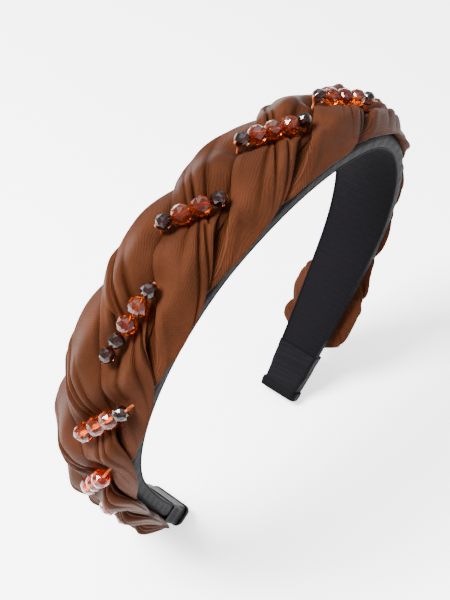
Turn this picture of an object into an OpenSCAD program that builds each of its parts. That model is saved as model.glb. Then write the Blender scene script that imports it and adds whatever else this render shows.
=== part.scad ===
// Padded headband: a sprung hoop in a satin cover, with a three-strand fabric twist on its
// outer face and short rows of faceted beads over each pass of the twist.
// Along the band a place is (s, y, h): s is the arc length on the inner surface from the
// crown, plus towards +X, y is across the band, and h is the height off the inner surface.

/* [Hoop arch] */
// Inner radius of the crown arc
crown_r = 110; // [92:1:135]
// Angle from the crown to where the shoulder arc starts
crown_a = 18.5; // [15:0.5:22]
// Inner radius of the shoulder arcs
side_r = 54; // [45:1:65]
// Angle turned by each shoulder arc
side_a = 96; // [90:1:102]
// Inner radius of the lower arms
arm_r = 305; // [250:5:370]
// Angle turned by each lower arm
arm_a = 12; // [10:0.5:14.5]
// Width of the band at the crown
crown_w = 28.6; // [24:0.2:34.4]
// Width of the band at the tips
tip_w = 13.5; // [11:0.5:16.5]

/* [Layers] */
// Thickness of the lining against the head
lining_t = 0.5; // [0.4:0.1:0.8]
// Thickness of the sprung hoop strip
hoop_t = 1.6; // [1.3:0.1:2.0]
// Set-back of the hoop strip inside each edge of the cover
hoop_inset = 1.2; // [0.8:0.1:2.0]
// Thickness of the foam pad
pad_t = 2.0; // [1.6:0.1:2.6]
// Thickness of the satin cover
cover_t = 0.5; // [0.4:0.1:0.7]
// Gap between neighbouring layers
layer_gap = 0.1; // [0.05:0.01:0.15]

/* [Twist] */
// How far the strands stand out past the band's edge at the crown
crown_over = 1.9; // [1:0.1:3]
// Width of the twist low on the arms
arm_twist_w = 29.2; // [25:0.2:32]
// Height of the twist at the crown
crown_twist_t = 8; // [7:0.1:9.6]
// Height of the twist low on the arms
arm_twist_t = 7; // [6:0.1:8.4]
// Share of its height that the twist loses at its two edges
edge_thin = 0.55; // [0.3:0.05:0.7]
// Width of the flattened tail inside the sleeve
tail_w = 11; // [9:0.2:12]
// Height of the flattened tail inside the sleeve
tail_t = 1.5; // [1.2:0.1:1.9]
// Length over which the twist narrows into the tail
neck_len = 14; // [11:1:17]
// Length of one pass of a strand at the crown
pass_crown = 40.8; // [38:0.1:44]
// Length of one pass of a strand low on the arms
pass_arm = 18.3; // [17.5:0.1:20]
// Place on the arm where that lower length is reached
pass_arm_s = 150; // [140:1:160]
// Depth of the valley between strands, as a share of the strand's radius
valley = 0.2; // [0.1:0.01:0.3]
// Depth of the waist under each bead row, as a share of the twist's height
waist = 0.6; // [0.5:0.01:0.65]
// Half width of that waist across the row
waist_half = 7.9; // [7.2:0.1:8.8]
// Half gap between neighbouring strands, degrees of the twist
strand_gap = 2.4; // [1.6:0.1:3.4]

/* [Beads] */
// Diameter of the large faceted beads
bead_d = 6; // [5:0.1:7.2]
// Diameter of the small end beads
small_bead_d = 4.8; // [4:0.1:5.8]
// Gap between neighbouring beads on a thread
bead_space = 0.12; // [0.05:0.01:0.2]
// Diameter of the thread
thread_d = 0.9; // [0.7:0.05:1.1]
// Running clearance of the bead bores on the thread, radial
thread_clear = 0.06; // [0.02:0.01:0.09]
// Gap between the large beads and the fabric under them
bead_lift = 0.7; // [0.5:0.05:0.9]
// Angle between a bead row and the band
row_tilt = 20; // [10:1:26]
// Depth to which the thread's ends are stitched into the strands
stitch_depth = 1.4; // [0.8:0.1:2]

/* [Tips] */
// Length of the sleeve on each tip
sleeve_len = 19.5; // [16:0.5:23]
// Wall of the sleeve
sleeve_t = 1.0; // [0.8:0.1:1.3]
// Clearance inside the sleeve
sleeve_gap = 0.15; // [0.1:0.01:0.2]
// Length of the folded hem at the sleeve's end
hem_len = 3.6; // [3:0.2:5]
// Thickness of the folded hem
hem_t = 0.4; // [0.3:0.05:0.6]
// Height of the small flat foot cut on each tip
foot_cut = 0.8; // [0.5:0.1:1.2]

/* [Flex] */
// Place of the flex hinge along the band
flex_s = 17.6; // [16:0.1:19]
// Cut between the two halves at the flex hinge
flex_gap = 0.4; // [0.3:0.05:0.6]

/* [Hidden] */
ROW_NODES = ["bead_row_01", "bead_row_02", "bead_row_03", "bead_row_04", "bead_row_05",
    "bead_row_06", "bead_row_07", "bead_row_08", "bead_row_09", "bead_row_10",
    "bead_row_11", "bead_row_12", "bead_row_13"];

// Each bead row: small beads at the low end, large beads, small beads at the high end
ROWS = [[0, 1, 0], [0, 2, 0], [0, 3, 0], [0, 3, 1], [2, 2, 1], [1, 2, 1], [1, 3, 1],
    [1, 3, 1], [1, 2, 2], [1, 3, 0], [0, 3, 0], [0, 2, 0], [0, 1, 0]];
mid_row = floor(len(ROWS) / 2);
// How each row lies: its place across the band in mm, and its turn from the usual tilt
ROW_LAY = [[-2.4, 4], [-3.2, 5], [-4, 8], [-4.6, 16], [-1.2, -14], [2, 9], [2.5, 0],
    [0.8, 0], [-0.8, -4], [1.4, 4], [-1.2, 0], [1, -3], [0, 0]];
function row_side(k) = ROW_LAY[k + mid_row][0];
function row_turn(k) = row_tilt + ROW_LAY[k + mid_row][1];

// Heights of the layers off the inner surface
hoop_h = lining_t + layer_gap;
pad_h = hoop_h + hoop_t + layer_gap;
cover_h = pad_h + pad_t + layer_gap;
band_top = cover_h + cover_t;
twist_h = band_top + layer_gap;

// Arc lengths at the ends of the three arcs
crown_len = crown_r * crown_a * PI / 180;
side_end = crown_len + side_r * side_a * PI / 180;
half_len = side_end + arm_r * arm_a * PI / 180;
sleeve_s = half_len - sleeve_len;

// Arc centres in the x-z plane, with the inner crown point at zero
crown_c = [0, -crown_r];
side_c = crown_c + (crown_r - side_r) * [sin(crown_a), cos(crown_a)];
arm_c = side_c + (side_r - arm_r) * [sin(crown_a + side_a), cos(crown_a + side_a)];

// Angle, radius and centre of the arc at a distance q from the crown
function turn_at(q) = q < crown_len ? q / crown_r * 180 / PI
    : q < side_end ? crown_a + (q - crown_len) / side_r * 180 / PI
    : crown_a + side_a + (q - side_end) / arm_r * 180 / PI;
function radius_at(q) = q < crown_len ? crown_r : q < side_end ? side_r : arm_r;
function centre_at(q) = q < crown_len ? crown_c : q < side_end ? side_c : arm_c;
function rise_at(q, h) = centre_at(q)[1] + (radius_at(q) + h) * cos(turn_at(q));

// The tips' lowest corner, less the foot cut, stands on z = 0
end_wall_s = half_len + sleeve_gap + sleeve_t;
sleeve_top = twist_h + tail_t + sleeve_gap + sleeve_t;
crown_z = -rise_at(end_wall_s, sleeve_top + hem_t) - foot_cut;

function place(s, y, h) = let (q = abs(s), r = radius_at(q) + h)
    [sign(s) * (centre_at(q)[0] + r * sin(turn_at(q))), y, crown_z + rise_at(q, h)];

// Half width of the band, and of each layer cut to it
function band_half(q) = (crown_w - (crown_w - tip_w) * pow(q / half_len, 2)) / 2;

// Size of the twist at a distance q from the crown
function ease(x) = let (c = max(0, min(1, x))) c * c * (3 - 2 * c);
function necked(q) = ease((q - sleeve_s + neck_len) / neck_len);
function along_arm(q) = pow(min(q / sleeve_s, 1), 2);
function twist_half(q) = let (full = (crown_w / 2 + crown_over) * (1 - along_arm(q))
    + arm_twist_w / 2 * along_arm(q)) full + (tail_w / 2 - full) * necked(q);
function twist_t(q) = let (full = crown_twist_t
    + (arm_twist_t - crown_twist_t) * min(q / sleeve_s, 1))
    full + (tail_t - full) * necked(q);

// Passes of the twist counted from the crown, and the place where one is centred
pass_start = 1 / pass_crown;
pass_growth = (1 / pass_arm - 1 / pass_crown) / (2 * pass_arm_s);
function passes(s) = sign(s) * (abs(s) * pass_start + s * s * pass_growth);
function pass_s(k) = sign(k) * (sqrt(pow(pass_start, 2) + 4 * pass_growth * abs(k))
    - pass_start) / (2 * pass_growth);

// Share of its height that the twist keeps under the rows on either side of a place
function row_y(k, s) = row_side(k)
    - tan(row_turn(k)) * (s - pass_s(k)) * (1 + twist_h / radius_at(abs(s)));
function dip(k, s, y) = abs(k) > mid_row ? 0 : exp(-pow((passes(s) - k) / 0.62, 4))
    * exp(-pow((y - row_y(k, s)) / waist_half, 2));
function waist_share(q) = waist * (1 - necked(q));
function pressed(s, y) = let (k = floor(passes(s)))
    1 - waist_share(abs(s)) * max(dip(k, s, y), dip(k + 1, s, y));

// Share of its height that the twist keeps at a place across it: it thins to its edges
function thinned(y, a) = 1 - edge_thin * ease((abs(y) / a - 0.45) / 0.55);

// One strand: a third of a flattened rope that turns as it runs along the band
strand_pts = 13;
ring_step = 2.6;
apex_share = 0.14;
function strand_point(s, t, share) = let (q = abs(s), a = twist_half(q), full = twist_t(q),
    rise = full * 0.56, mid = full - rise, y = a * cos(t) * share,
    h = max(0, mid + rise * sin(t) * share))
    place(s, y, twist_h + h * pressed(s, y) * thinned(y, a));
function strand_ring(k, s) = let (front = 90 - 120 * (passes(s) - k),
    reach = 60 - strand_gap)
    concat([for (i = [0:strand_pts - 1]) let (v = 2 * i / (strand_pts - 1) - 1)
        strand_point(s, front + reach * v, 1 - valley * pow(abs(v), 3))],
        [strand_point(s, front, apex_share)]);

module strand(k, s0, s1) {
    steps = ceil((s1 - s0) / ring_step);
    n = strand_pts + 1;
    pts = [for (j = [0:steps]) each strand_ring(k, s0 + (s1 - s0) * j / steps)];
    // The last side is split the other way, to match the strand that it lies against
    sides = [for (j = [0:steps - 1], i = [0:n - 1]) let (a = j * n + i,
        b = j * n + (i + 1) % n) each i < n - 1 ? [[a, a + n, b + n], [a, b + n, b]]
        : [[a, a + n, b], [a + n, b + n, b]]];
    caps = [[for (i = [0:n - 1]) i], [for (i = [n - 1:-1:0]) steps * n + i]];
    polyhedron(pts, concat(sides, caps));
}

// A strip that follows the arch on the +X side between s0 and s1, from height h0 to h1
module arch_side(h0, h1, s0, s1) {
    ends = [0, crown_len, side_end, half_len + 20];
    for (i = [0:2]) {
        a = max(s0, ends[i]);
        b = min(s1, ends[i + 1]);
        q = (ends[i] + ends[i + 1]) / 2;
        if (b > a) {
            spread = (b - a) / radius_at(q) * 180 / PI;
            start = turn_at(q) + (b - q) / radius_at(q) * 180 / PI;
            translate([centre_at(q)[0], 0, crown_z + centre_at(q)[1]]) rotate([90, 0, 0])
                rotate([0, 0, 90 - start])
                    rotate_extrude(angle = spread, $fn = 180)
                        translate([radius_at(q) + h0, -crown_w]) square([h1 - h0, 2 * crown_w]);
        }
    }
}

// The same strip between any two places along the band
module arch(h0, h1, s0, s1) {
    if (s1 > 0) arch_side(h0, h1, max(s0, 0), s1);
    if (s0 < 0) mirror([1, 0, 0]) arch_side(h0, h1, max(-s1, 0), -s0);
}

// Block with the band's tapered outline as seen along X, grown by a margin at each edge
taper_steps = 14;
module taper(margin) {
    stops = [for (i = [0:taper_steps]) half_len * i / taper_steps];
    edge = [for (q = stops) [band_half(q) + margin, crown_z + rise_at(q, 0)]];
    top = [band_half(0) + margin, crown_z + 40];
    foot = [band_half(half_len) + margin, -20];
    right = concat([top], edge, [foot]);
    left = [for (i = [len(right) - 1:-1:0]) [-right[i][0], right[i][1]]];
    rotate([90, 0, 90]) linear_extrude(4 * side_r + 2 * crown_r, center = true)
        polygon(concat(right, left));
}

// A layer of the band: an arch strip cut to the taper
module layer(h0, h1, s0, s1, margin) {
    intersection() {
        arch(h0, h1, s0, s1);
        taper(margin);
    }
}

// Ends of the two halves along the band
left_ends = [-half_len, flex_s - flex_gap / 2];
right_ends = [flex_s + flex_gap / 2, half_len];
function is_left(k) = pass_s(k) < flex_s;

module lining(ends) {
    color("#232122") layer(0, lining_t, ends[0], ends[1], -cover_t - layer_gap);
}
module hoop(ends) {
    color("#d8d4cb") layer(hoop_h, hoop_h + hoop_t, ends[0], ends[1], -cover_t - hoop_inset);
}
module pad(ends) {
    color("#cfc3a8") layer(pad_h, pad_h + pad_t, ends[0], ends[1], -cover_t - layer_gap);
}
module cover(ends) {
    color("#1d1c1e") difference() {
        layer(0, band_top, ends[0], ends[1], 0);
        layer(-1, cover_h, ends[0] - 1, ends[1] + 1, -cover_t);
    }
}
module twist_strand(k, ends) {
    tail = half_len - 4;
    color(["#8a5236", "#7b4730", "#955b3a"][k])
        strand(k, max(ends[0], -tail), min(ends[1], tail));
}

// Bead rows
bore_r = thread_d / 2 + thread_clear;
module bead(d) {
    rotate([0, 90, 0]) difference() {
        sphere(d = d, $fn = 10);
        cylinder(r = bore_r, h = 2 * d, center = true, $fn = 32);
    }
}
function bead_sizes(row) = concat([for (i = [1:1:row[0]]) small_bead_d],
    [for (i = [1:1:row[1]]) bead_d], [for (i = [1:1:row[2]]) small_bead_d]);
// Length of the first n beads of a row along the thread
function run(d, n) = n == 0 ? 0 : d[n - 1] * cos(18) + bead_space + run(d, n - 1);
function row_len(k) = let (d = bead_sizes(ROWS[k + mid_row])) run(d, len(d));
module at_row(k) {
    s = pass_s(k);
    q = abs(s);
    h = twist_h + twist_t(q) * (1 - waist_share(q)) + bead_lift + bead_d / 2;
    translate(place(s, row_side(k), h))
        rotate([0, sign(s) * turn_at(q), 0]) rotate([0, 0, -row_turn(k)]) children();
}
module bead_row(k) {
    d = bead_sizes(ROWS[k + mid_row]);
    color("#b5531c") at_row(k)
        for (i = [0:len(d) - 1])
            translate([(run(d, i) + run(d, i + 1)) / 2 - row_len(k) / 2, 0, 0]) bead(d[i]);
}
// Thread of one row, with both ends turned down and stitched into the strands
module row_thread(k) {
    reach = row_len(k) / 2 + thread_d;
    drop = bead_d / 2 + bead_lift + stitch_depth + pow(reach, 2) / (2 * side_r);
    at_row(k) {
        rotate([0, 90, 0]) cylinder(d = thread_d, h = 2 * reach, center = true, $fn = 32);
        for (x = [-reach, reach]) translate([x, 0, 0]) {
            sphere(d = thread_d * 1.3, $fn = 24);
            translate([0, 0, -drop]) cylinder(d = thread_d, h = drop, $fn = 24);
        }
    }
}
module bead_thread(left) {
    color("#6b2a12") for (k = [-mid_row:mid_row]) if (is_left(k) == left) row_thread(k);
}

// Tips, modelled at +X and mirrored for the left arm
module on_side(left) {
    mirror([left ? 1 : 0, 0, 0]) children();
}
module above_floor() {
    intersection() {
        children();
        translate([-2 * crown_r, -2 * crown_w, 0]) cube([4 * crown_r, 4 * crown_w, crown_z]);
    }
}
module tip_sleeve(left) {
    low = -sleeve_gap - sleeve_t;
    color("#161517") on_side(left) above_floor() difference() {
        layer(low, sleeve_top, sleeve_s, end_wall_s, sleeve_gap + sleeve_t);
        layer(-sleeve_gap, sleeve_top - sleeve_t, sleeve_s - 1, half_len + sleeve_gap,
            sleeve_gap);
    }
}
module sleeve_hem(left) {
    inner = sleeve_gap + sleeve_t + layer_gap;
    outer = sleeve_gap + sleeve_t + hem_t;
    color("#0f0f10") on_side(left) above_floor() difference() {
        layer(-outer, sleeve_top + hem_t, end_wall_s - hem_len, end_wall_s, outer);
        layer(-inner, sleeve_top + layer_gap, end_wall_s - hem_len - 1, end_wall_s + 1,
            inner);
    }
}

lining(left_ends);  // lining_left
lining(right_ends);  // lining_right
hoop(left_ends);  // hoop_left
hoop(right_ends);  // hoop_right
pad(left_ends);  // pad_left
pad(right_ends);  // pad_right
cover(left_ends);  // cover_left
cover(right_ends);  // cover_right
twist_strand(0, left_ends);  // strand_a_left
twist_strand(0, right_ends);  // strand_a_right
twist_strand(1, left_ends);  // strand_b_left
twist_strand(1, right_ends);  // strand_b_right
twist_strand(2, left_ends);  // strand_c_left
twist_strand(2, right_ends);  // strand_c_right
bead_thread(true);  // bead_thread_left
bead_thread(false);  // bead_thread_right
tip_sleeve(true);  // tip_sleeve_left
tip_sleeve(false);  // tip_sleeve_right
sleeve_hem(true);  // sleeve_hem_left
sleeve_hem(false);  // sleeve_hem_right
bead_row(-6);  // bead_row_01
bead_row(-5);  // bead_row_02
bead_row(-4);  // bead_row_03
bead_row(-3);  // bead_row_04
bead_row(-2);  // bead_row_05
bead_row(-1);  // bead_row_06
bead_row(0);  // bead_row_07
bead_row(1);  // bead_row_08
bead_row(2);  // bead_row_09
bead_row(3);  // bead_row_10
bead_row(4);  // bead_row_11
bead_row(5);  // bead_row_12
bead_row(6);  // bead_row_13
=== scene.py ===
"""Twisted satin headband with faceted bead rows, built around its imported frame.

A place on the band is (s, y, h): s is the arc length on the inner surface from the crown,
plus towards +X, y is across the band, and h is the height off the inner surface, all in mm.
"""
import math
import bmesh
import bpy
import numpy as np
from mathutils import Matrix, Vector


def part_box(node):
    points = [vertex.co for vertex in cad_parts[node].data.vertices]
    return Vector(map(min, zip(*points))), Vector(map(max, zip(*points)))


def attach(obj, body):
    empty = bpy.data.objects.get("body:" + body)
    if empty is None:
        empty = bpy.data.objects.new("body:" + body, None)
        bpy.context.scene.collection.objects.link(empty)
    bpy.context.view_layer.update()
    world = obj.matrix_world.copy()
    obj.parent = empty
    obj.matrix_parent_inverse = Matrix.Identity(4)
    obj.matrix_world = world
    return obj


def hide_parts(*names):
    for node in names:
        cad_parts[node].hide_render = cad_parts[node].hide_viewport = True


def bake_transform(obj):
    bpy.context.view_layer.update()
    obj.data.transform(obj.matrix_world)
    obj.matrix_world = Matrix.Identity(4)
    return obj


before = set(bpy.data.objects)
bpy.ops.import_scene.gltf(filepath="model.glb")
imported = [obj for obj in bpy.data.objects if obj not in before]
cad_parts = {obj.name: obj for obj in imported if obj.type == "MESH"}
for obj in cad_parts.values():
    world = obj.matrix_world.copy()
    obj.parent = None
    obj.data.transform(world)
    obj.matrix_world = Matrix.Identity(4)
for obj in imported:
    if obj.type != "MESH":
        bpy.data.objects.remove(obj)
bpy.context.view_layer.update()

MM = 0.001

# ---------------------------------------------------------------- camera, floor and light
# Angles in degrees, then the lens's place along the view's own axes in mm
VIEW_AZIMUTH, VIEW_ELEVATION, VIEW_ROLL = -59.306, 44.569, 8.322
VIEW_OFFSET = (-1.03, 54.44, 394.56)
VIEW_BASE = 5.6
LENS = 60.83


def add_camera():
    a, e, r = (math.radians(v) for v in (VIEW_AZIMUTH, VIEW_ELEVATION, VIEW_ROLL))
    right = Vector((math.cos(a), math.sin(a), 0))
    back = Vector((math.sin(a) * math.cos(e), -math.cos(a) * math.cos(e), math.sin(e)))
    up = back.cross(right)
    axes = Matrix((right * math.cos(r) + up * math.sin(r),
                   up * math.cos(r) - right * math.sin(r), back)).transposed()
    camera = bpy.data.objects.new("camera", bpy.data.cameras.new("camera"))
    camera.data.lens = LENS
    camera.data.clip_start = 0.01
    place = axes @ Vector(VIEW_OFFSET) + Vector((0, 0, VIEW_BASE))
    camera.matrix_world = Matrix.Translation(place * MM) @ axes.to_4x4()
    bpy.context.scene.collection.objects.link(camera)
    bpy.context.scene.camera = camera


def linear(hex_colour):
    """An sRGB hex colour as linear RGBA."""
    parts = [int(hex_colour[i:i + 2], 16) / 255 for i in (1, 3, 5)]
    return [c / 12.92 if c < 0.04045 else ((c + 0.055) / 1.055) ** 2.4 for c in parts] + [1]


def add_node(tree, kind, links=(), **values):
    """Adds a node, sets its properties or inputs by name, and links (input, socket) pairs."""
    node = tree.nodes.new(kind)
    for key, value in values.items():
        if hasattr(node, key):
            setattr(node, key, value)
        else:
            name = key.replace("_", " ")
            socket = next(i for i in node.inputs if i.name.lower() == name.lower())
            socket.default_value = value
    for name, socket in links:
        target = node.inputs[name] if isinstance(name, (int, str)) else name
        tree.links.new(socket, target)
    return node


def new_material(name):
    """A named material, its node tree and its shader."""
    material = bpy.data.materials.new(name)
    material.use_nodes = True
    tree = material.node_tree
    shader = tree.nodes["Principled BSDF"]
    return material, tree, shader


def ramp(tree, factor, stops):
    """Colours blended between (place, hex colour) stops."""
    node = add_node(tree, "ShaderNodeValToRGB", [("Fac", factor)])
    band = node.color_ramp
    while len(band.elements) < len(stops):
        band.elements.new(0.5)
    for element, (at, colour) in zip(band.elements, stops):
        element.position = at
        element.color = linear(colour)
    return node.outputs["Color"]


def maths(tree, operation, *terms):
    """One sum on numbers or sockets."""
    node = add_node(tree, "ShaderNodeMath", operation=operation)
    for socket, term in zip(node.inputs, terms):
        if isinstance(term, (int, float)):
            socket.default_value = term
        else:
            tree.links.new(term, socket)
    return node.outputs[0]


def mix(tree, factor, a, b, blend="MIX"):
    """Two colours, each a value or a socket, blended by a factor."""
    node = add_node(tree, "ShaderNodeMix", data_type="RGBA", blend_type=blend)
    for socket, term in ((node.inputs[0], factor), (node.inputs[6], a), (node.inputs[7], b)):
        if isinstance(term, (int, float)) or isinstance(term, list):
            socket.default_value = term
        else:
            tree.links.new(term, socket)
    return node.outputs[2]


def weave_height(tree, pitch, slant=0.0, share=0.5):
    """Crossed threads of one pitch in mm on the piece's UV map, which is in metres."""
    uv = add_node(tree, "ShaderNodeUVMap").outputs[0]
    parts = add_node(tree, "ShaderNodeSeparateXYZ", [(0, uv)]).outputs
    turn = 2 * math.pi / (pitch * MM)
    along = maths(tree, "MULTIPLY", parts[0], turn)
    across = maths(tree, "MULTIPLY", parts[1], turn)
    warp = maths(tree, "SINE", maths(tree, "ADD", across, maths(tree, "MULTIPLY", along, slant)))
    weft = maths(tree, "SINE", maths(tree, "SUBTRACT", along, maths(tree, "MULTIPLY", across, slant)))
    crossed = maths(tree, "MULTIPLY", warp, weft)
    ribs = maths(tree, "MULTIPLY", warp, share)
    return maths(tree, "ADD", maths(tree, "MULTIPLY", crossed, 1 - share), ribs)


def noise(tree, scale, detail=3.0, rough=0.5, stretch=None):
    """Soft cloudiness on the object's own coordinates, which are in metres."""
    coords = add_node(tree, "ShaderNodeTexCoord").outputs["Object"]
    if stretch:
        coords = add_node(tree, "ShaderNodeMapping", [("Vector", coords)], Scale=stretch).outputs[0]
    return add_node(tree, "ShaderNodeTexNoise", [("Vector", coords)], Scale=scale,
                    Detail=detail, Roughness=rough).outputs[0]


def bump(tree, shader, height, distance, strength=1.0, under=None):
    """Raises the shader's surface by a height, over another bump if one is given."""
    links = [("Height", height)] + ([("Normal", under)] if under else [])
    node = add_node(tree, "ShaderNodeBump", links, Strength=strength, Distance=distance)
    tree.links.new(node.outputs[0], shader.inputs["Normal"])
    return node.outputs[0]


def satin_twist():
    """Copper-brown satin. Painted shade from each point's fold value turns the colour from copper to
    umber in creases and tucked edges.
    """
    material, tree, shader = new_material("copper_brown_satin_painted_shade")
    fold = add_node(tree, "ShaderNodeAttribute", attribute_name="fold").outputs["Fac"]
    cloud = noise(tree, 55, 4, 0.55)
    body = ramp(tree, cloud, [(0.3, "#1e0e08"), (0.52, "#29140c"), (0.72, "#351b10")])
    # Painted shade: the fold value darkens the colour in creases, at tucked edges and on the hidden
    # underside.
    shade = ramp(tree, fold, [(0.0, "#1c0e0a"), (0.35, "#75483a"), (0.62, "#ffffff")])
    colour = mix(tree, 1.0, body, shade, "MULTIPLY")
    threads = weave_height(tree, 0.55, 0.35, 0.6)
    # Painted highlight: the weave's raised threads are lightened towards a lit copper brown.
    lift = maths(tree, "MULTIPLY_ADD", threads, 0.8, 0.5)
    colour = mix(tree, maths(tree, "MULTIPLY", lift, 0.4), colour, linear("#4e2a17"))
    tree.links.new(colour, shader.inputs["Base Color"])
    shader.inputs["Roughness"].default_value = 0.5
    shader.inputs["Sheen Weight"].default_value = 0.015
    shader.inputs["Sheen Roughness"].default_value = 0.3
    shader.inputs["Sheen Tint"].default_value = linear("#c86a35")
    shader.inputs["Specular IOR Level"].default_value = 0.05
    shader.inputs["Specular Tint"].default_value = linear("#e8a070")
    slubs = noise(tree, 900, 2, 0.6, (1, 1, 1))
    low = bump(tree, shader, slubs, 0.00006, 0.5)
    bump(tree, shader, threads, 0.00012, 0.9, low)
    return material


def black_satin(name, base, painted_gloss, rough, pitch, sheen):
    """Black polyester satin: tight weave, with a grey gloss painted onto its raised threads."""
    material, tree, shader = new_material(name)
    threads = weave_height(tree, pitch, 0.0, 0.35)
    cloud = noise(tree, 60, 3)
    lift = maths(tree, "MULTIPLY_ADD", threads, 0.35, 0.4)
    lift = maths(tree, "MULTIPLY", lift, maths(tree, "ADD", cloud, 0.45))
    # Painted highlight: the weave's raised threads are lightened towards a grey gloss, more in random
    # cloudy patches.
    tree.links.new(mix(tree, lift, linear(base), linear(painted_gloss)), shader.inputs["Base Color"])
    shader.inputs["Roughness"].default_value = rough
    shader.inputs["Sheen Weight"].default_value = sheen
    shader.inputs["Sheen Roughness"].default_value = 0.4
    shader.inputs["Sheen Tint"].default_value = linear("#b8b8c0")
    shader.inputs["Specular IOR Level"].default_value = 0.015
    bump(tree, shader, threads, 0.00006, 0.6)
    return material


def bead_glass(name, tint, depth_tint):
    """Pressed and fire-polished glass: deep colour through the body, glossy flat facets."""
    material, tree, shader = new_material(name)
    cloud = noise(tree, 400, 2)
    tree.links.new(ramp(tree, cloud, [(0.35, depth_tint), (0.65, tint)]), shader.inputs["Base Color"])
    shader.inputs["Roughness"].default_value = 0.03
    shader.inputs["IOR"].default_value = 1.4
    shader.inputs["Transmission Weight"].default_value = 0.96
    shader.inputs["Specular IOR Level"].default_value = 0.15
    bump(tree, shader, cloud, 0.00003, 0.2)
    return material


def waxed_thread():
    """Three-ply waxed beading thread."""
    material, tree, shader = new_material("waxed_beading_thread")
    plies = weave_height(tree, 0.45, 1.0, 0.9)
    # Painted shade: the colour darkens in the grooves between plies and lightens on their crowns.
    tree.links.new(ramp(tree, plies, [(0.2, "#7a2e08"), (0.8, "#b8561a")]), shader.inputs["Base Color"])
    shader.inputs["Roughness"].default_value = 0.5
    bump(tree, shader, plies, 0.0001, 0.6)
    return material


def moulded_plastic():
    """Natural nylon strip from an injection mould, faintly grained."""
    material, tree, shader = new_material("moulded_nylon")
    grain = noise(tree, 1500, 2)
    tree.links.new(ramp(tree, grain, [(0.3, "#cfcabf"), (0.7, "#dfdbd2")]), shader.inputs["Base Color"])
    shader.inputs["Roughness"].default_value = 0.45
    bump(tree, shader, grain, 0.00004, 0.4)
    return material


def open_foam():
    """Open-cell polyurethane foam sheet."""
    material, tree, shader = new_material("open_cell_foam")
    coords = add_node(tree, "ShaderNodeTexCoord").outputs["Object"]
    cells = add_node(tree, "ShaderNodeTexVoronoi", [("Vector", coords)], Scale=1600).outputs[0]
    # Painted shade: the colour darkens in the cell pits, where the bump is lowest.
    tree.links.new(ramp(tree, cells, [(0.0, "#8f8468"), (0.6, "#d6cbb0")]), shader.inputs["Base Color"])
    shader.inputs["Roughness"].default_value = 0.95
    bump(tree, shader, cells, 0.0003, 0.8)
    return material


def studio_floor():
    """Matt white paper sweep."""
    material, tree, shader = new_material("matt_paper_floor")
    grain = noise(tree, 8, 2)
    tree.links.new(ramp(tree, grain, [(0.3, "#f4f4f4"), (0.7, "#f6f6f6")]), shader.inputs["Base Color"])
    shader.inputs["Roughness"].default_value = 0.9
    shader.inputs["Specular IOR Level"].default_value = 0.1
    shader.inputs["Emission Color"].default_value = linear("#ffffff")
    shader.inputs["Emission Strength"].default_value = 1.3
    return material


def add_studio():
    bpy.ops.mesh.primitive_plane_add(size=6)
    floor = bpy.context.object
    floor.name = "floor"
    floor.data.materials.append(studio_floor())
    for name, place, size, power in (("key", (-0.45, 0.3, 0.75), 0.33, 48.0),
                                     ("fill", (-0.2, -0.8, 0.5), 0.8, 3.0),
                                     ("top", (0.1, 0.3, 1.1), 0.9, 10.0)):
        lamp = bpy.data.objects.new(name, bpy.data.lights.new(name, "AREA"))
        lamp.data.size = size
        lamp.data.energy = power
        lamp.location = place
        aim = Vector((0, 0, 0.08)) - Vector(place)
        lamp.rotation_euler = aim.to_track_quat("-Z", "Y").to_euler()
        bpy.context.scene.collection.objects.link(lamp)
    world = bpy.data.worlds.new("studio")
    world.use_nodes = True
    world.node_tree.nodes["Background"].inputs[0].default_value = linear("#f4f5f7")
    world.node_tree.nodes["Background"].inputs[1].default_value = 1.15
    bpy.context.scene.world = world


add_camera()
add_studio()

# ---------------------------------------------------------------- the band's own geometry
CROWN_R, CROWN_A = 110.0, 18.5
SIDE_R, SIDE_A = 54.0, 96.0
ARM_R, ARM_A = 305.0, 12.0
CROWN_W, TIP_W = 28.6, 13.5
COVER_T, GAP = 0.5, 0.1
LINING_T = 0.5
HOOP_H, HOOP_T, HOOP_INSET = 0.6, 1.6, 1.2
PAD_H, PAD_T = 2.3, 2.0
BAND_TOP, TWIST_H = 4.9, 5.0
SLEEVE_LEN, SLEEVE_T, SLEEVE_GAP = 19.5, 1.0, 0.15
HEM_LEN, HEM_T = 3.6, 0.4
EDGE_ROLL_R = 0.42
FLEX_S = 17.6

CROWN_LEN = CROWN_R * math.radians(CROWN_A)
SIDE_END = CROWN_LEN + SIDE_R * math.radians(SIDE_A)
HALF_LEN = SIDE_END + ARM_R * math.radians(ARM_A)
SLEEVE_S = HALF_LEN - SLEEVE_LEN
END_WALL_S = HALF_LEN + SLEEVE_GAP + SLEEVE_T
CROWN_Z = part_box("lining_left")[1][2] / MM - LINING_T


def direction(degrees):
    return np.array([math.sin(math.radians(degrees)), math.cos(math.radians(degrees))])


CROWN_C = np.array([0.0, -CROWN_R])
SIDE_C = CROWN_C + (CROWN_R - SIDE_R) * direction(CROWN_A)
ARM_C = SIDE_C + (SIDE_R - ARM_R) * direction(CROWN_A + SIDE_A)


def arc_at(q):
    """Turn in radians, radius and centre of the arch at distances q from the crown."""
    q = np.asarray(q, float)
    crown, side = q < CROWN_LEN, q < SIDE_END
    turn = np.where(crown, q / CROWN_R, np.where(
        side, math.radians(CROWN_A) + (q - CROWN_LEN) / SIDE_R,
        math.radians(CROWN_A + SIDE_A) + (q - SIDE_END) / ARM_R))
    radius = np.where(crown, CROWN_R, np.where(side, SIDE_R, ARM_R))
    x = np.where(crown, CROWN_C[0], np.where(side, SIDE_C[0], ARM_C[0]))
    z = np.where(crown, CROWN_C[1], np.where(side, SIDE_C[1], ARM_C[1]))
    return turn, radius, x, z


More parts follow.
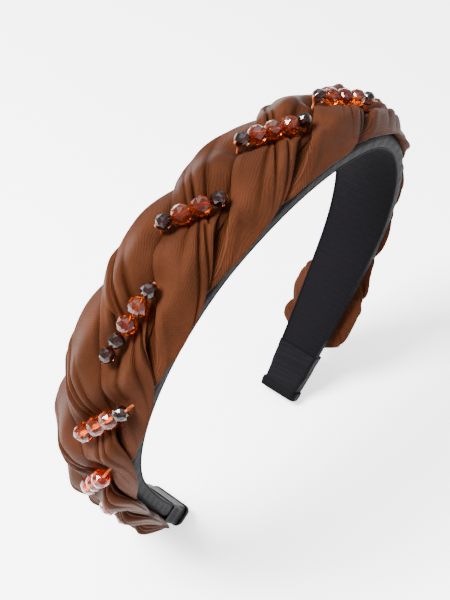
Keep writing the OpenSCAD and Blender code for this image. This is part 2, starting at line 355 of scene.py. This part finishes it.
def place(s, y, h):
    """Points in metres at places on the band."""
    s, y, h = np.broadcast_arrays(*(np.asarray(v, float) for v in (s, y, h)))
    turn, radius, x, z = arc_at(np.abs(s))
    r = radius + h
    return np.stack([np.where(s < 0, -1, 1) * (x + r * np.sin(turn)), y,
                     CROWN_Z + z + r * np.cos(turn)], axis=-1) * MM


def band_half(q):
    """Half width of the band, which narrows towards its tips."""
    return (CROWN_W - (CROWN_W - TIP_W) * (np.abs(q) / HALF_LEN) ** 2) / 2


def smooth(x):
    c = np.clip(x, 0, 1)
    return c * c * (3 - 2 * c)


def surface(name, points, uv, material, caps=True, folds=None):
    """A closed tube through rings of points (rings, around, 3) with a UV map in metres."""
    rings, around = points.shape[:2]
    mesh = bpy.data.meshes.new(name)
    j, i = np.meshgrid(np.arange(rings - 1), np.arange(around), indexing="ij")
    i2 = (i + 1) % around
    faces = np.stack([j * around + i, j * around + i2, (j + 1) * around + i2,
                      (j + 1) * around + i], axis=-1).reshape(-1, 4)
    polygons = faces.tolist()
    if caps:
        polygons.append(list(range(around - 1, -1, -1)))
        polygons.append(list(range((rings - 1) * around, rings * around)))
    mesh.from_pydata(points.reshape(-1, 3).tolist(), [], polygons)
    layer = mesh.uv_layers.new(name="UVMap")
    seam = np.stack([uv[:, :1, 0], 2 * uv[:, -1:, 1] - uv[:, -2:-1, 1]], axis=-1)
    wide = np.concatenate([uv, seam], axis=1)
    corner = np.stack([wide[j, i], wide[j, i + 1], wide[j + 1, i + 1], wide[j + 1, i]], axis=2)
    flat = corner.reshape(-1, 2)
    values = np.zeros((len(mesh.loops), 2))
    values[:len(flat)] = flat
    layer.data.foreach_set("uv", values.ravel())
    # Painted shade: the fold value per point darkens the twist's colour in its creases and tucks.
    if folds is not None:
        data = mesh.attributes.new("fold", "FLOAT", "POINT")
        data.data.foreach_set("value", folds.ravel().astype(np.float32))
    mesh.materials.append(material)
    mesh.polygons.foreach_set("use_smooth", [True] * len(mesh.polygons))
    obj = bpy.data.objects.new(name, mesh)
    bpy.context.scene.collection.objects.link(obj)
    outward(obj)
    return obj


def outward(obj):
    """Turns a closed shape's faces outwards."""
    shape = bmesh.new()
    shape.from_mesh(obj.data)
    bmesh.ops.recalc_face_normals(shape, faces=shape.faces)
    shape.to_mesh(obj.data)
    shape.free()


def arc_points(cx, cy, r, start, end, count):
    t = np.radians(np.linspace(start, end, count))
    return np.stack([cx + r * np.cos(t), cy + r * np.sin(t)], axis=1)


def rounded_box(half, low, high, soft, count=9):
    """Section in (y, h) with soft corners, from a corner on the head side round."""
    return np.concatenate([
        arc_points(half - soft, low + soft, soft, -90, 0, count),
        arc_points(half - soft, high - soft, soft, 0, 90, count),
        arc_points(-half + soft, high - soft, soft, 90, 180, count),
        arc_points(-half + soft, low + soft, soft, 180, 270, count)])


def bend_with_hoop(piece):
    """A one-piece part stays whole across the flex hinge; its transform is baked into its mesh."""
    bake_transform(piece)


def stand_for_halves(piece, node):
    """The piece takes the place of a node's left and right halves."""
    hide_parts(node + "_left")
    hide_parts(node + "_right")
    bend_with_hoop(piece)


def ring_uv(points, s):
    """UV in metres: along the arc, and round each ring."""
    step = np.linalg.norm(np.diff(points, axis=1), axis=2)
    round_it = np.concatenate([np.zeros((len(points), 1)), np.cumsum(step, axis=1)], axis=1)
    along = np.broadcast_to((s * MM)[:, None], round_it.shape)
    return np.stack([along, round_it], axis=-1)


# ---------------------------------------------------------------- band layers
def band_strip(name, section, s, material):
    """Sweeps a section, given as a function of the half width, along the whole band."""
    rings = np.stack([place(q, *section(q).T) for q in s])
    return surface(name, rings, ring_uv(rings, s), material)


def slab(h0, h1, inset, soft):
    """Section of a flat strip with rounded edges."""
    def section(q):
        return rounded_box(band_half(q) - inset, h0, h1, soft, count=4)
    return section


def cover_section(q):
    """Satin wrapped over the pad: soft shoulders, sides that belly a little, turned-in edges."""
    w = band_half(q)
    soft, belly = 1.3, 0.22
    ripple = 0.05 * math.sin(q * 0.9) + 0.04 * math.sin(q * 2.3 + 1)
    side = np.linspace(0.35, BAND_TOP - soft, 7)
    out = w + (belly + ripple) * np.sin(np.pi * (side - 0.3) / BAND_TOP)
    right = np.stack([out, side], axis=1)
    left = np.stack([-out[::-1], side[::-1]], axis=1)
    inner = w - COVER_T
    return np.concatenate([
        [[inner, 0.05], [w - 0.12, 0.02]], right,
        arc_points(w - soft, BAND_TOP - soft, soft, 15, 90, 6),
        arc_points(-w + soft, BAND_TOP - soft, soft, 90, 165, 6), left,
        [[-w + 0.12, 0.02], [-inner, 0.05], [-inner, 4.2], [-inner + 0.2, 4.4],
         [inner - 0.2, 4.4], [inner, 4.2]]])


def add_band():
    s = np.linspace(-HALF_LEN, HALF_LEN, 400)
    side = black_satin("black_satin_cover", "#050506", "#161618", 0.5, 0.42, 0.02)
    smooth_black = black_satin("black_lining_cloth", "#080709", "#0b0a0c", 0.6, 0.3, 0.0)
    lining = band_strip("lining", slab(-0.02, LINING_T, COVER_T + GAP, 0.2), s, smooth_black)
    cover = band_strip("cover", cover_section, s, side)
    hoop = band_strip("hoop_strip", slab(HOOP_H, HOOP_H + HOOP_T, COVER_T + HOOP_INSET, 0.5),
                      s, moulded_plastic())
    pad = band_strip("foam_pad", slab(PAD_H, PAD_H + PAD_T, COVER_T + GAP, 0.7), s, open_foam())
    for piece, node in ((lining, "lining"), (cover, "cover"), (hoop, "hoop"), (pad, "pad")):
        stand_for_halves(piece, node)
    edge = black_satin("black_edge_fold", "#040405", "#141316", 0.6, 0.5, 0.005)
    for side_name, sign in (("front", -1), ("back", 1)):
        t = np.radians(np.linspace(0, 360, 8, endpoint=False))
        rings = np.stack([place(q, sign * (band_half(q) - 0.25) + EDGE_ROLL_R * np.cos(t),
                                0.12 + EDGE_ROLL_R * np.sin(t)) for q in s])
        fold = surface("edge_fold_" + side_name, rings, ring_uv(rings, s), edge)
        bend_with_hoop(fold)


add_band()

# ---------------------------------------------------------------- strands of the twist
CROWN_OVER, ARM_TWIST_W = 1.9, 29.2
CROWN_TWIST_T, ARM_TWIST_T = 8.0, 7.0
EDGE_THIN = 0.55
TAIL_W, TAIL_T, NECK_LEN = 11.0, 1.5, 9.0
PASS_CROWN, PASS_ARM, PASS_ARM_S = 40.8, 18.3, 150
PASS_START = 1 / PASS_CROWN
PASS_GROWTH = (1 / PASS_ARM - PASS_START) / (2 * PASS_ARM_S)
WAIST, NEST_HALF, NEST_END = 0.6, 4.9, 2.6
ROW_TILT = 20
MID_ROW = 6
# Place across the band in mm, and turn past ROW_TILT in degrees, of each row
ROW_LAY = [(-2.4, 4), (-3.2, 5), (-4, 8), (-4.6, 16), (-1.2, -14), (2, 9), (2.5, 0),
           (0.8, 0), (-0.8, -4), (1.4, 4), (-1.2, 0), (1, -3), (0, 0)]
BEAD_D, SMALL_D, BEAD_SPACE = 6.0, 4.8, 0.12
THREAD_D, BEAD_LIFT, STITCH_DEPTH = 0.9, 0.7, 1.4
BORE_D, END_TILT = 1.02, 18
THREAD_BEND, DIVE_IN, DIVE_DEPTH = 0.6, 1.4, 2.8
PLY_DEPTH, PLY_TURN = 0.035, 2.2
# Small, large and small beads of each row, from its low end to its high end
ROWS = [(0, 1, 0), (0, 2, 0), (0, 3, 0), (0, 3, 1), (2, 2, 1), (1, 2, 1), (1, 3, 1),
        (1, 3, 1), (1, 2, 2), (1, 3, 0), (0, 3, 0), (0, 2, 0), (0, 1, 0)]


def necked(q):
    """How far the twist has drawn in towards its tail: 0 on the arm, 1 in the sleeve."""
    return smooth((q - SLEEVE_S + NECK_LEN) / NECK_LEN)


def twist_half(q):
    """Half width of the twist."""
    arm = np.minimum(q / SLEEVE_S, 1) ** 2
    full = (CROWN_W / 2 + CROWN_OVER) * (1 - arm) + ARM_TWIST_W / 2 * arm
    return full + (TAIL_W / 2 - full) * necked(q)


def twist_t(q):
    """Height of the twist."""
    full = CROWN_TWIST_T + (ARM_TWIST_T - CROWN_TWIST_T) * np.minimum(q / SLEEVE_S, 1)
    return full + (TAIL_T - full) * necked(q)


def passes(s):
    """Passes of the twist counted from the crown."""
    return np.sign(s) * (np.abs(s) * PASS_START + s * s * PASS_GROWTH)


def pass_s(k):
    """Where pass k crosses the middle of the band."""
    root = np.sqrt(PASS_START ** 2 + 4 * PASS_GROWTH * np.abs(k))
    return np.sign(k) * (root - PASS_START) / (2 * PASS_GROWTH)


def bead_run(k):
    """Diameters of one row's beads, and the places of their ends along the thread."""
    low, large, high = ROWS[k + MID_ROW]
    sizes = [SMALL_D] * low + [BEAD_D] * large + [SMALL_D] * high
    return sizes, np.cumsum([0] + [d * math.cos(math.radians(END_TILT)) + BEAD_SPACE for d in sizes])


def dip(k, s, y):
    """Share of the full waist at a place, for the nest of the row of pass k."""
    if abs(k) > MID_ROW:
        return np.zeros_like(y)
    side, turn = ROW_LAY[k + MID_ROW]
    turn = math.radians(ROW_TILT + turn)
    along = (s - pass_s(k)) * (1 + TWIST_H / arc_at(np.abs(s))[1])
    u = along * math.cos(turn) - (y - side) * math.sin(turn)
    v = along * math.sin(turn) + (y - side) * math.cos(turn)
    reach = bead_run(k)[1][-1] / 2 + NEST_END
    return np.exp(-(u / reach) ** 6) * np.exp(-(v / NEST_HALF) ** 2)


def far_share(s):
    """The far arm's strands lie narrow down to one broad last lobe."""
    slim = 0.2 * smooth((s - 62) / 14) * (1 - math.exp(-((s - 151) / 15) ** 4))
    return float(1 - slim)


def creases(k, side, x, reach):
    """Depth in mm of the sharp pleats that run out from a waist, for one side of one pass."""
    pick = np.random.default_rng(100 + 2 * (k + 10) + side)
    depth = np.zeros_like(x)
    for at in np.array([-0.5, -0.08, 0.38]) + pick.uniform(-0.14, 0.14, 3):
        length, drift = pick.uniform(0.3, 0.85), pick.uniform(-0.5, 0.5)
        deep, wide = pick.uniform(0.9, 1.9), pick.uniform(0.05, 0.08)
        off = (x - at * (0.75 + 0.5 * reach) - drift * reach ** 1.5) / (wide * (1 + 1.6 * reach))
        fade = math.exp(-(reach / length) ** 3)
        fold = np.where(off > 0, np.exp(-np.abs(off) * 0.8), np.exp(-(off * 1.6) ** 2))
        depth += deep * fade * (fold - 0.3 * np.exp(-((off + 2.6) / 1.5) ** 2))
    return depth


OUTER_PTS, UNDER_PTS = 72, 10
RISE_SHARE = 0.56
FACE_HALF, FLAP = 60, 11
PINCH_REACH, PINCH_DRAW = 0.36, 0.34
FULL_LOBE_S, FULL_LOBE_RUN = 85, 45


def outline(at, high, low, x):
    """Turns round a strand's section in degrees, and the share of its size at each of them."""
    notch = 1 - 0.6 * float(smooth((at - 120) / 20))
    face = 1 - np.where(x < 0, 0.13, 0.46) * notch * np.abs(x) ** 2.4
    turn = np.concatenate([low + (high - low) * (x + 1) / 2,
                           [high + 3, (high + 76) / 2, 76, 50, 18, -18, -38,
                            low + 18, low + 7, low + 1.2]])
    return turn, np.concatenate([face, [0.53, 0.5, 0.47], [0.3] * 4, [0.6, 0.69, 0.77]])


def lobe(q, reach, x):
    """Swell of a pass between its waist and its ends, fuller low on the arms."""
    full = 1.0 + 1.9 * float(smooth((q - FULL_LOBE_S) / FULL_LOBE_RUN))
    return full * float(smooth(reach / 0.42) * smooth((1.25 - reach) / 0.4)) * (1 - x ** 2)


def wander(k, off, x):
    """Slow unevenness of gathered cloth, in mm."""
    return 0.2 * np.sin(3.1 * x + 2.3 * off + k) + 0.13 * np.sin(6.3 * x - 3.7 * off + 2 * k)


def pressed(at, y, a, free):
    """Share of its height that the twist keeps in the nests of the rows and at its edges."""
    under = math.floor(passes(at))
    press = 1 - WAIST * free * np.maximum(dip(under, at, y), dip(under + 1, at, y))
    return press * (1 - EDGE_THIN * smooth((np.abs(y) / a - 0.45) / 0.55))


def strand_rings(j, s):
    """One strand: pleated outer face, a flap over its lower neighbour, a tuck under its upper."""
    x = np.linspace(-1, 1, OUTER_PTS)
    rings, folds = [], []
    for at in s:
        q, turns = abs(at), float(passes(at))
        k = j + 3 * round((turns - j) / 3)
        off = turns - k
        free = 1 - float(necked(q))
        half, height = float(twist_half(q)) * far_share(at), float(twist_t(q))
        rise, mid = height * RISE_SHARE, height * (1 - RISE_SHARE)
        pinch = math.exp(-(off / PINCH_REACH) ** 2) * free
        high = FACE_HALF * (1 - PINCH_DRAW * pinch)
        turn, share = outline(at, high, -high - FLAP * (1 - pinch), x)
        t = np.radians(90 - 120 * off + turn)
        depth = creases(k, 1 if off > 0 else 0, x, abs(off))
        inside = 1 - 0.85 * smooth((np.abs(np.cos(t[:OUTER_PTS])) - 0.55) / 0.4)
        roll = 0.6 * np.exp(-((x + 0.88) / 0.09) ** 2) * (1 - pinch)
        relief = lobe(q, abs(off), x) * inside + wander(k, off, x) - depth + roll
        lift = np.concatenate([relief, np.zeros(UNDER_PTS)]) * (0.25 + 0.75 * free)
        normal = np.stack([np.cos(t) / half, np.sin(t) / rise], axis=1)
        normal /= np.linalg.norm(normal, axis=1, keepdims=True)
        y = half * np.cos(t) * share + normal[:, 0] * lift
        h = mid + rise * np.sin(t) * share + normal[:, 1] * lift
        rings.append(place(at, y, TWIST_H + np.maximum(h, 0.02) * pressed(at, y, half, free)))
        # Painted shade: the fold value, which darkens the satin's colour, drops in creases, towards the
        # edge tucked under the neighbour and on the hidden underside.
        fold = np.clip(0.8 - depth * 0.45 - 0.6 * smooth((x - 0.7) / 0.3), 0, 1)
        folds.append(np.concatenate([fold, [0.15, 0.1, 0.05], [0.05] * 4, [0.1, 0.2, 0.5]]))
    return np.stack(rings), np.stack(folds)


def add_strands():
    satin = satin_twist()
    end = HALF_LEN - 4
    s = np.linspace(-end, end, 520)
    for j, letter in enumerate("abc"):
        rings, folds = strand_rings(j, s)
        step = np.linalg.norm(np.diff(rings[:, OUTER_PTS // 2], axis=0), axis=1)
        along = np.concatenate([[0], np.cumsum(step)]) / MM
        strand = surface("strand_" + letter, rings, ring_uv(rings, along), satin, folds=folds)
        stand_for_halves(strand, "strand_" + letter)


add_strands()

# ---------------------------------------------------------------- beads and their thread
FACETS = 8


def faceted_bead():
    """A unit bead along X: alternate rings of flat facets round a drilled bore."""
    bore = BORE_D / 2 / BEAD_D
    tilts = [16, 44, 74, 106, 136, 164]
    rings = [(bore, math.cos(math.radians(tilts[0])) * 0.5, 0)]
    rings += [(math.sin(math.radians(t)) * 0.5, math.cos(math.radians(t)) * 0.5, n % 2)
              for n, t in enumerate(tilts, 1)]
    rings.append((bore, -rings[0][1], 1))
    points = [(x, r * math.cos(a), r * math.sin(a)) for r, x, shift in rings
              for a in [2 * math.pi * (i + shift / 2) / FACETS for i in range(FACETS)]]
    faces = []
    for n, (_, _, shift) in enumerate(rings[:-1]):
        for i in range(FACETS):
            a, b = n * FACETS + i, n * FACETS + (i + 1) % FACETS
            c, d = a + FACETS, b + FACETS
            if rings[n + 1][2] == shift:
                faces.append((a, b, d, c))
            elif shift == 0:
                faces += [(a, b, c), (b, d, c)]
            else:
                faces += [(a, b, d), (a, d, c)]
    last = (len(rings) - 1) * FACETS
    for i in range(FACETS):
        faces.append((i, (i + 1) % FACETS, last + (i + 1) % FACETS, last + i))
    mesh = bpy.data.meshes.new("faceted_bead")
    mesh.from_pydata(points, [], faces)
    bead = bpy.data.objects.new("faceted_bead", mesh)
    outward(bead)
    return bead


def instance_tree(name):
    """Sets a small piece on every point, sized and turned by the points' own values."""
    tree = bpy.data.node_groups.new(name, "GeometryNodeTree")
    for label, kind in (("Geometry", "NodeSocketGeometry"), ("Piece", "NodeSocketObject"),
                        ("Main finish", "NodeSocketMaterial"), ("Other finish", "NodeSocketMaterial")):
        tree.interface.new_socket(label, in_out="INPUT", socket_type=kind)
    tree.interface.new_socket("Geometry", in_out="OUTPUT", socket_type="NodeSocketGeometry")
    inputs = add_node(tree, "NodeGroupInput").outputs
    piece = add_node(tree, "GeometryNodeObjectInfo", [("Object", inputs["Piece"])]).outputs["Geometry"]

    def stored(attribute, kind):
        node = add_node(tree, "GeometryNodeInputNamedAttribute", data_type=kind)
        node.inputs["Name"].default_value = attribute
        return node.outputs["Attribute"]
    spread = add_node(tree, "GeometryNodeInstanceOnPoints", [
        ("Points", inputs["Geometry"]), ("Instance", piece),
        ("Rotation", stored("turn", "FLOAT_VECTOR")), ("Scale", stored("size", "FLOAT"))])
    real = add_node(tree, "GeometryNodeRealizeInstances", [("Geometry", spread.outputs[0])])
    main = add_node(tree, "GeometryNodeSetMaterial", [("Geometry", real.outputs[0]),
                                                      ("Material", inputs["Main finish"])])
    other = add_node(tree, "GeometryNodeSetMaterial", [
        ("Geometry", main.outputs[0]), ("Material", inputs["Other finish"]),
        ("Selection", stored("other", "BOOLEAN"))])
    add_node(tree, "NodeGroupOutput", [("Geometry", other.outputs[0])])
    return tree


def set_on_points(name, tree, piece, finishes, points, turns, sizes, other=None):
    """Runs the tree on a list of points and returns the result as one plain piece."""
    mesh = bpy.data.meshes.new(name + "_points")
    mesh.from_pydata([tuple(p) for p in points], [], [])
    for label, kind, values in (("turn", "FLOAT_VECTOR", np.asarray(turns, float)),
                                ("size", "FLOAT", np.asarray(sizes, float))):
        data = mesh.attributes.new(label, kind, "POINT").data
        data.foreach_set("vector" if kind == "FLOAT_VECTOR" else "value", values.ravel())
    flags = mesh.attributes.new("other", "BOOLEAN", "POINT").data
    flags.foreach_set("value", list(other) if other is not None else [False] * len(points))
    carrier = bpy.data.objects.new(name + "_points", mesh)
    bpy.context.scene.collection.objects.link(carrier)
    modifier = carrier.modifiers.new("set", "NODES")
    modifier.node_group = tree
    for item in tree.interface.items_tree:
        if item.in_out == "INPUT" and item.name in ("Piece", "Main finish", "Other finish"):
            modifier[item.identifier] = {"Piece": piece, "Main finish": finishes[0],
                                         "Other finish": finishes[-1]}[item.name]
    seen = carrier.evaluated_get(bpy.context.evaluated_depsgraph_get())
    made = bpy.data.meshes.new_from_object(seen)
    bpy.data.objects.remove(carrier)
    obj = bpy.data.objects.new(name, made)
    bpy.context.scene.collection.objects.link(obj)
    return obj


def row_matrix(k):
    """Frame of a bead row in mm: X along its thread, Z away from the band."""
    s = float(pass_s(k))
    q = abs(s)
    side, extra = ROW_LAY[k + MID_ROW]
    h = TWIST_H + float(twist_t(q)) * (1 - WAIST * (1 - float(necked(q)))) + BEAD_LIFT + BEAD_D / 2
    turn = float(arc_at(q)[0]) * (1 if s >= 0 else -1)
    spot = Vector(place(s, side, h)) / MM
    return (Matrix.Translation(spot) @ Matrix.Rotation(turn, 4, "Y")
            @ Matrix.Rotation(-math.radians(ROW_TILT + extra), 4, "Z"))


def row_beads(k):
    """Diameters and centres of one row's beads along the thread, and half the row's length."""
    sizes, ends = bead_run(k)
    return sizes, (ends[:-1] + ends[1:]) / 2 - ends[-1] / 2, ends[-1] / 2


def add_beads():
    tree = instance_tree("beads_on_thread")
    bead = faceted_bead()
    amber = bead_glass("amber_pressed_glass", "#c2500c", "#8e2c04")
    # Painted shade: the small beads at the row ends take a darker glass, standing in for amber beads
    # that lie in shade.
    shaded_amber = bead_glass("amber_glass_painted_shade", "#4a2414", "#241210")
    for k in range(-MID_ROW, MID_ROW + 1):
        number = "%02d" % (k + MID_ROW + 1)
        sizes, centres, _ = row_beads(k)
        frame_mm = row_matrix(k)
        points = [(frame_mm @ Vector((x, 0, 0))) * MM for x in centres]
        turns = [(frame_mm.to_3x3() @ Matrix.Rotation(0.65 * i + k, 3, "X")).to_euler()
                 for i in range(len(sizes))]
        row = set_on_points("beads_" + number, tree, bead, (amber, shaded_amber), points, turns,
                            [d * MM for d in sizes], [d < BEAD_D for d in sizes])
        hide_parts("bead_row_" + number)
        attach(row, "beads_" + number)


def thread_path(k):
    """One row's thread in its own frame: up out of the fabric, through the beads and down."""
    reach = row_beads(k)[2] + 0.1
    drop = BEAD_D / 2 + BEAD_LIFT + STITCH_DEPTH + reach ** 2 / (2 * SIDE_R)
    fall = np.linspace(drop, THREAD_BEND, 10)
    corner = arc_points(0, 0, THREAD_BEND, 0, 90, 6)
    run = [*[(reach - DIVE_IN * smooth(d / DIVE_DEPTH), -d) for d in fall],
           *[(reach - THREAD_BEND + c[0] - 0.1, -THREAD_BEND + c[1]) for c in corner[1:]],
           *[(x, 0) for x in np.linspace(reach - THREAD_BEND - 0.4, 0, 14)]]
    return np.array([(x, 0, z) for x, z in run] + [(-x, 0, z) for x, z in run[-2::-1]])


def thread_rings(line):
    """Three plies laid round a path, with the length along it."""
    tangent = np.gradient(line, axis=0)
    tangent /= np.linalg.norm(tangent, axis=1, keepdims=True)
    across = np.array([0.0, 1.0, 0.0])
    up = np.cross(tangent, across)
    step = np.linalg.norm(np.diff(line, axis=0), axis=1)
    length = np.concatenate([[0], np.cumsum(step)])
    t = np.linspace(0, 2 * np.pi, 12, endpoint=False)
    r = THREAD_D / 2 - 0.04 + PLY_DEPTH * np.cos(3 * t[None] - length[:, None] * PLY_TURN)
    rings = line[:, None] + r[..., None] * (np.cos(t)[None, :, None] * across
                                            + np.sin(t)[None, :, None] * up[:, None])
    return rings, length


def add_thread():
    finish = waxed_thread()
    for side in ("left", "right"):
        pieces = []
        for k in range(-MID_ROW, MID_ROW + 1):
            if (pass_s(k) < FLEX_S) != (side == "left"):
                continue
            frame_mm = row_matrix(k)
            rings, length = thread_rings(thread_path(k))
            moved = (rings @ np.array(frame_mm.to_3x3()).T + np.array(frame_mm.translation)) * MM
            pieces.append(surface("thread_part", moved, ring_uv(moved, length), finish))
        thread = join(pieces, "bead_thread_" + side + "_visible")
        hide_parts("bead_thread_" + side)
        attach(thread, side + "_half")


def join(pieces, name):
    """Joins pieces into the first of them, under a new name."""
    bpy.ops.object.select_all(action="DESELECT")
    for piece in pieces:
        piece.select_set(True)
    bpy.context.view_layer.objects.active = pieces[0]
    bpy.ops.object.join()
    pieces[0].name = name
    return pieces[0]


add_beads()
add_thread()

# ---------------------------------------------------------------- tip sleeves and hems
def crumple(s, section, depth):
    """Gathers: shallow slanted folds pressed into a section."""
    around = np.linspace(0, 2 * np.pi, len(section), endpoint=False)
    folds = (np.sin(3 * around + 0.35 * s) + 0.5 * np.sin(7 * around - 0.6 * s + 1)
             + 0.4 * np.sin(2 * around + 0.8 * s))
    middle = section.mean(axis=0)
    away = section - middle
    away /= np.linalg.norm(away, axis=1, keepdims=True)
    return section + away * (depth * folds)[:, None] - away * depth


TIP_LOW, TIP_HIGH = -0.5, TWIST_H + TAIL_T + SLEEVE_GAP + 0.6
TIP_ROUND = 0.9


def sleeve_stations():
    """Distance, inset, gather and size of each ring, from inside the mouth to the end wall."""
    inner = [(q, 0.75, 0.05, 1) for q in np.linspace(SLEEVE_S + 8, SLEEVE_S + 0.5, 6)]
    mouth = [(SLEEVE_S + 0.1, 0.6, 0.05, 1), (SLEEVE_S, 0.35, 0.06, 1)]
    outer = [(q, 0.0, 0.12, 1) for q in np.linspace(SLEEVE_S, END_WALL_S - TIP_ROUND, 46)]
    corner = [(END_WALL_S - TIP_ROUND + TIP_ROUND * math.sin(a),
               TIP_ROUND * (1 - math.cos(a)), 0.08, 1) for a in np.radians([20, 40, 60, 78])]
    return inner + mouth + outer + corner + [(END_WALL_S, TIP_ROUND, 0.05, size)
                                             for size in (0.8, 0.5, 0.2)]


def sleeve_section(q, inset, gather, size):
    box = rounded_box(band_half(min(q, HALF_LEN)) + 0.65 - inset * 0.5,
                      TIP_LOW + inset * 0.4, TIP_HIGH - inset, 1.5 - 0.3 * inset)
    centre = np.array([0, (TIP_LOW + TIP_HIGH) / 2])
    return crumple(q, centre + (box - centre) * size, gather)


def hem_stations():
    """Distance and lift of each ring of the folded hem: over the outside, then back under."""
    outer = np.linspace(END_WALL_S - HEM_LEN, END_WALL_S - 0.15, 14)
    over = [(q, HEM_T * (0.55 + 0.45 * math.sin(math.pi * n / 13))) for n, q in enumerate(outer)]
    back = [(END_WALL_S - 0.1, -0.3), (END_WALL_S - HEM_LEN + 0.1, -0.3)]
    return over + back + over[:1]


def hem_section(q, lift):
    box = rounded_box(band_half(min(q, HALF_LEN)) + SLEEVE_GAP + SLEEVE_T + lift,
                      TIP_LOW - lift, TIP_HIGH + lift, 2.2)
    return crumple(q * 1.5, box, 0.06)


def tip_rings(sign, section, stations):
    """Rings of one tip's piece, kept above the floor, and their UV map."""
    points = np.stack([place(sign * q, *section(q, *rest).T) for q, *rest in stations])
    points[..., 2] = np.maximum(points[..., 2], 0)
    return points, ring_uv(points, np.array([station[0] for station in stations]))


def add_tips():
    ribbon = black_satin("black_sleeve_satin", "#070608", "#101012", 0.5, 0.45, 0.02)
    hem_cloth = black_satin("black_hem_satin", "#050506", "#0b0b0c", 0.5, 0.45, 0.01)
    for side, sign in (("left", -1), ("right", 1)):
        rings = tip_rings(sign, sleeve_section, sleeve_stations())
        sleeve = surface("sleeve_cloth_" + side, *rings, ribbon)
        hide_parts("tip_sleeve_" + side)
        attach(sleeve, side + "_half")
        rings = tip_rings(sign, hem_section, hem_stations())
        hem = surface("hem_fold_" + side, *rings, hem_cloth, caps=False)
        weld(hem)
        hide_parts("sleeve_hem_" + side)
        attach(hem, side + "_half")


def weld(obj):
    """Closes a tube that runs back into its own first ring."""
    shape = bmesh.new()
    shape.from_mesh(obj.data)
    bmesh.ops.remove_doubles(shape, verts=shape.verts, dist=1e-7)
    shape.to_mesh(obj.data)
    shape.free()
    outward(obj)


add_tips()
